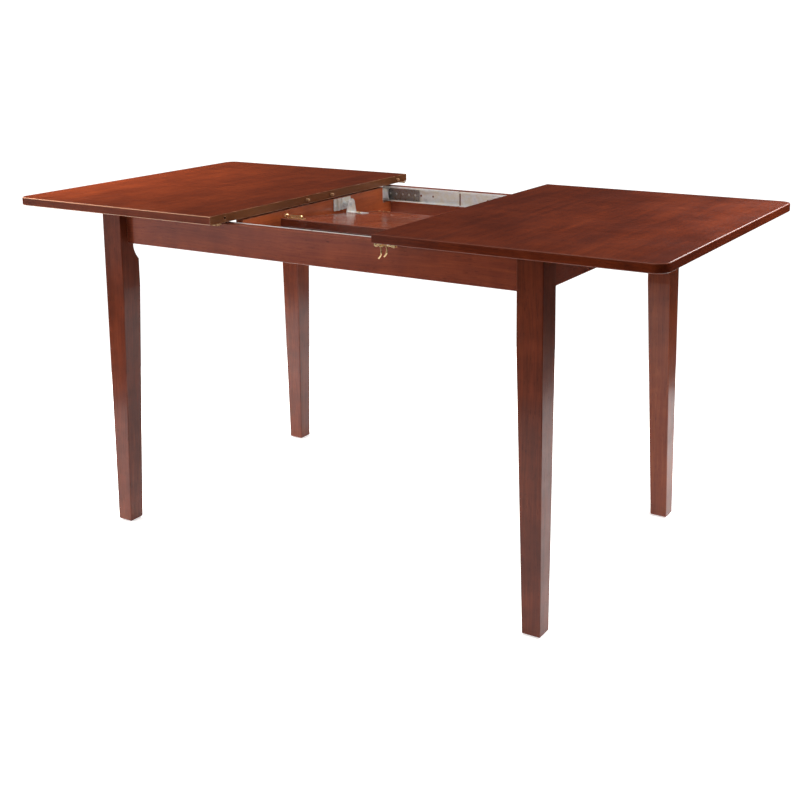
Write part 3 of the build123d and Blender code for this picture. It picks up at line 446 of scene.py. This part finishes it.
slides = [f"{end}_{side}_slide_{part}" for end in ("front", "rear") for side in ("left", "right")
          for part in ("channel", "member")]
paint(plated("zincPlatedSteelStrip", zincLook), *slides, "left_slide_brackets", "right_slide_brackets")
paint(plated("zincPlatedSteelPressing", zincLook, grain="Z"),
      "corner_plates", "cross_rail_angles", "pivot_brackets", "swing_plates", "pivot_pins", "slide_screws",
      "corner_plate_screws", "hanger_bolts", "hanger_nuts", "cross_rail_screws", "pivot_bracket_screws",
      "left_top_screws", "right_top_screws")
# the cages' darker grey is partly painted shade inside the slide
paint(plated("greasedSteelStripPaintedShade", cageGreaseAndShadeLook), "left_ball_cages", "right_ball_cages")
paint(plated("polishedBearingSteel", ballLook), "left_bearing_balls", "right_bearing_balls")
paint(plated("palePlatedBrass", brassLook, grain="Y"),
      "top_keepers", "top_catch_bases", "rear_catch_arm", "front_catch_arm",
      "rear_catch_bail", "front_catch_bail",
      "leaf_catch_plates", "leaf_rear_catch_arm", "leaf_front_catch_arm",
      "leaf_hinges", "leaf_hinge_pins", "leaf_hinge_screws", "leaf_screws")
print("metal done")


# Turned beech dowel, wiped with the same stain: brown, close-grained, with the short dark flecks of its rays.
beechLook = {
    "pale": "#b98d64", "body": "#a2734c", "fleck": "#7a4f30",
    "grain": (60, 1.6),    # mm
    "ray": (3.5, 0.8),     # mm
    "fleckSpan": (0.24, 0.12),    # from clear of a ray to its middle
    "fleckShare": 0.6,
    "grainDepth": 0.0001,  # metres
    "bump": 0.5,
    "ior": 1.5,
    "roughness": 0.58,
    "fibreRoughness": (-0.08, 0.10),
}


def wipedBeech(name, look, grain):
    material, tree = startMaterial(name)
    place = addNode(tree, "ShaderNodeTexCoord")
    dowel = alongGrain(tree, place.outputs["Object"], grain)
    fibre = addNode(tree, "ShaderNodeTexNoise",
                    {"Scale": 1.0, "Detail": 3.0}, inSize(tree, dowel, look["grain"]))
    ray = addNode(tree, "ShaderNodeTexVoronoi",
                  {"Scale": 1.0, "Randomness": 1.0}, inSize(tree, dowel, look["ray"]))
    flecks = addNode(tree, "ShaderNodeMapRange", span(look["fleckSpan"], (0.0, look["fleckShare"])),
                     {"Value": ray.outputs["Distance"]})
    body = addNode(tree, "ShaderNodeMix",
                   {"data_type": "RGBA", 6: linear(look["pale"]), 7: linear(look["body"])},
                   {0: fibre.outputs["Fac"]})
    colour = addNode(tree, "ShaderNodeMix", {"data_type": "RGBA", 7: linear(look["fleck"])},
                     {0: flecks.outputs["Result"], 6: body.outputs[2]})
    bump = addNode(tree, "ShaderNodeBump", {"Strength": look["bump"], "Distance": look["grainDepth"]},
                   {"Height": fibre.outputs["Fac"]})
    dryness = [look["roughness"] + change for change in look["fibreRoughness"]]
    rough = addNode(tree, "ShaderNodeMapRange", span((0.0, 1.0), dryness), {"Value": fibre.outputs["Fac"]})
    shader = addNode(tree, "ShaderNodeBsdfPrincipled", {"IOR": look["ior"]},
                     {"Base Color": colour.outputs[2], "Roughness": rough.outputs["Result"],
                      "Normal": bump.outputs["Normal"]})
    addNode(tree, "ShaderNodeOutputMaterial", None, {"Surface": shader.outputs["BSDF"]})
    return material


paint(wipedBeech("stainWipedTurnedBeech", beechLook, "X"),
      "left_top_dowels", "right_top_dowel", "leaf_dowels")
print("beech done")


# Moulded polyethylene furniture glides: near-black, waxy, with a fine spark-eroded texture and a scuffed
# foot.
glideLook = {
    "colour": "#2a1f1b", "scuffed": "#4d4039",
    "grit": 0.7,           # mm
    "wear": 7.143,         # mm, scuffs
    "wearSpan": (0.45, 0.75),
    "gritDepth": 0.00008,  # metres
    "bump": 0.4,
    "ior": 1.51,
    "roughness": 0.52,
    "gritRoughness": (-0.1, 0.1),
}


def mouldedGlide(name, look):
    material, tree = startMaterial(name)
    place = addNode(tree, "ShaderNodeTexCoord")
    piece = {"Vector": place.outputs["Object"]}
    grit = addNode(tree, "ShaderNodeTexNoise", {"Scale": 1000 / look["grit"], "Detail": 2.0}, piece)
    wear = addNode(tree, "ShaderNodeTexNoise", {"Scale": 1000 / look["wear"], "Detail": 4.0}, piece)
    worn = addNode(tree, "ShaderNodeMapRange", span(look["wearSpan"]), {"Value": wear.outputs["Fac"]})
    colour = addNode(tree, "ShaderNodeMix",
                     {"data_type": "RGBA", 6: linear(look["colour"]), 7: linear(look["scuffed"])},
                     {0: worn.outputs["Result"]})
    gritty = [look["roughness"] + change for change in look["gritRoughness"]]
    rough = addNode(tree, "ShaderNodeMapRange", span((0.0, 1.0), gritty), {"Value": grit.outputs["Fac"]})
    bump = addNode(tree, "ShaderNodeBump", {"Strength": look["bump"], "Distance": look["gritDepth"]},
                   {"Height": grit.outputs["Fac"]})
    shader = addNode(tree, "ShaderNodeBsdfPrincipled", {"IOR": look["ior"]},
                     {"Base Color": colour.outputs[2], "Roughness": rough.outputs["Result"],
                      "Normal": bump.outputs["Normal"]})
    addNode(tree, "ShaderNodeOutputMaterial", None, {"Surface": shader.outputs["BSDF"]})
    return material


paint(mouldedGlide("mouldedPolyethyleneGlide", glideLook), "leg_glides")
print("plastic done")


# studio: a round white floor, soft light from overhead, and a low sky kept dark so that no glare lies on
# the tops
studioLook = {
    "floor": "#f8f8f7",
    "floorRoughness": 0.9,
    "floorShine": 0.1,
    "lift": 0.54,              # the floor's own glow, which keeps the shadow faint
    "floorReach": 1.5,         # metres, the part of the floor that lights the table
    "floorDrop": 0.0002,       # metres below the feet
    "sweep": "#ffffff",
    "sweepReach": 80.0,        # metres to the end of the white sweep
    "sweepHeight": 30.0,
    "sweepGlow": 1.25,         # a little past white, so that no join shows
    "sides": 96,
    "sky": [(0.00, 0.03), (0.36, 0.05), (0.60, 0.85), (0.80, 1.0)],   # brightness by the sine of the height
    "skyStrength": 0.68,
    "sunStrength": 0.85,
    "sunWidth": 34.0,          # degrees, wide enough that shadows melt
    "sunFrom": (22.0, -36.0),  # degrees from overhead, and round from the front towards the left
}

# soft panels, in metres and watts; shine says whether the lacquer shows them
panels = {
    "frontPanel": {   # lights the fronts, and fades to the right
        "place": (-3.0, -3.2, 0.95), "faces": (0.0, 0.0, 0.50),
        "size": (2.0, 1.6), "watts": 120.0, "shine": False,
    },
    "frontShine": {   # the soft glare along the front apron
        "place": (-2.0, -1.9, 0.75), "faces": (0.0, 0.0, 0.60),
        "size": (2.4, 1.2), "watts": 9.0, "shine": True,
    },
    "leftPanel": {    # one over each end, so that the tops darken towards the middle
        "place": (-1.26, -0.14, 1.34), "faces": (-1.25, -0.14, 0.0),
        "size": (0.6, 0.9), "watts": 42.0, "shine": False,
    },
    "rightPanel": {
        "place": (1.30, 0.22, 1.32), "faces": (1.29, 0.22, 0.0),
        "size": (0.6, 0.9), "watts": 24.0, "shine": False,
    },
    "edgePanel": {    # draws the bright line along the right end's edge
        "place": (1.3, 3.5, 2.3), "faces": (0.4, 0.0, 0.60),
        "size": (2.2, 1.0), "watts": 84.0, "shine": True,
    },
}


def addStage(name, points, faces, material):
    mesh = bpy.data.meshes.new(name)
    mesh.from_pydata(points, [], faces)
    mesh.materials.append(material)
    piece = bpy.data.objects.new(name, mesh)
    scene.collection.objects.link(piece)
    return piece


def ring(reach, height, sides):
    turns = [math.tau * n / sides for n in range(sides)]
    return [(reach * math.cos(turn), reach * math.sin(turn), height) for turn in turns]


def makeFloor(look, level):
    matt, tree = startMaterial("mattWhiteFloor")
    shader = addNode(tree, "ShaderNodeBsdfPrincipled",
                     {"Base Color": linear(look["floor"]), "Roughness": look["floorRoughness"],
                      "Specular IOR Level": look["floorShine"],
                      "Emission Color": linear(look["sweep"]), "Emission Strength": look["lift"]})
    addNode(tree, "ShaderNodeOutputMaterial", None, {"Surface": shader.outputs["BSDF"]})
    edge = ring(look["floorReach"], level, look["sides"])
    addStage("studioFloor", edge, [list(range(look["sides"]))], matt)


def makeSweep(look, level):
    # only a background: it neither lights the table nor shows in its lacquer
    white, tree = startMaterial("plainWhiteSweep")
    glow = addNode(tree, "ShaderNodeEmission",
                   {"Color": linear(look["sweep"]), "Strength": look["sweepGlow"]})
    addNode(tree, "ShaderNodeOutputMaterial", None, {"Surface": glow.outputs["Emission"]})
    sides = look["sides"]
    near, far = look["floorReach"], look["sweepReach"]
    rings = [(near, level), (far, level), (far, level + look["sweepHeight"])]
    points = [point for reach, height in rings for point in ring(reach, height, sides)]
    faces = []
    for inner in (0, sides):
        for n in range(sides):
            here, there = inner + n, inner + (n + 1) % sides
            faces.append((here, there, there + sides, here + sides))
    sweep = addStage("studioSweep", points, faces, white)
    sweep.visible_diffuse = False
    sweep.visible_glossy = False
    sweep.visible_shadow = False
    sweep.visible_transmission = False


def makeSky(look):
    world = bpy.data.worlds.new("studioSky")
    world.use_nodes = True
    tree = world.node_tree
    tree.nodes.clear()
    place = addNode(tree, "ShaderNodeTexCoord")
    axes = addNode(tree, "ShaderNodeSeparateXYZ", None, {"Vector": place.outputs["Generated"]})
    sky = addNode(tree, "ShaderNodeValToRGB", {"ramp": look["sky"]}, {"Fac": axes.outputs["Z"]})
    light = addNode(tree, "ShaderNodeBackground", {"Strength": look["skyStrength"]},
                    {"Color": sky.outputs["Color"]})
    addNode(tree, "ShaderNodeOutputWorld", None, {"Surface": light.outputs["Background"]})
    scene.world = world


def makeSun(look):
    data = bpy.data.lights.new("softSun", "SUN")
    data.energy = look["sunStrength"]
    data.angle = math.radians(look["sunWidth"])
    sun = bpy.data.objects.new("softSun", data)
    scene.collection.objects.link(sun)
    down, around = (math.radians(angle) for angle in look["sunFrom"])
    sun.rotation_euler = (down, 0.0, around)


def makePanel(name, look):
    data = bpy.data.lights.new(name, "AREA")
    data.shape = "RECTANGLE"
    data.size, data.size_y = look["size"]
    data.energy = look["watts"]
    panel = bpy.data.objects.new(name, data)
    scene.collection.objects.link(panel)
    panel.location = look["place"]
    aim = Vector(look["faces"]) - Vector(look["place"])
    panel.rotation_euler = aim.to_track_quat("-Z", "Y").to_euler()
    panel.visible_camera = False
    panel.visible_glossy = look["shine"]


floorLevel = cadBox[0][2] - studioLook["floorDrop"]
makeFloor(studioLook, floorLevel)
makeSweep(studioLook, floorLevel)
makeSky(studioLook)
makeSun(studioLook)
for panelName, panelLook in panels.items():
    makePanel(panelName, panelLook)
print("studio done")
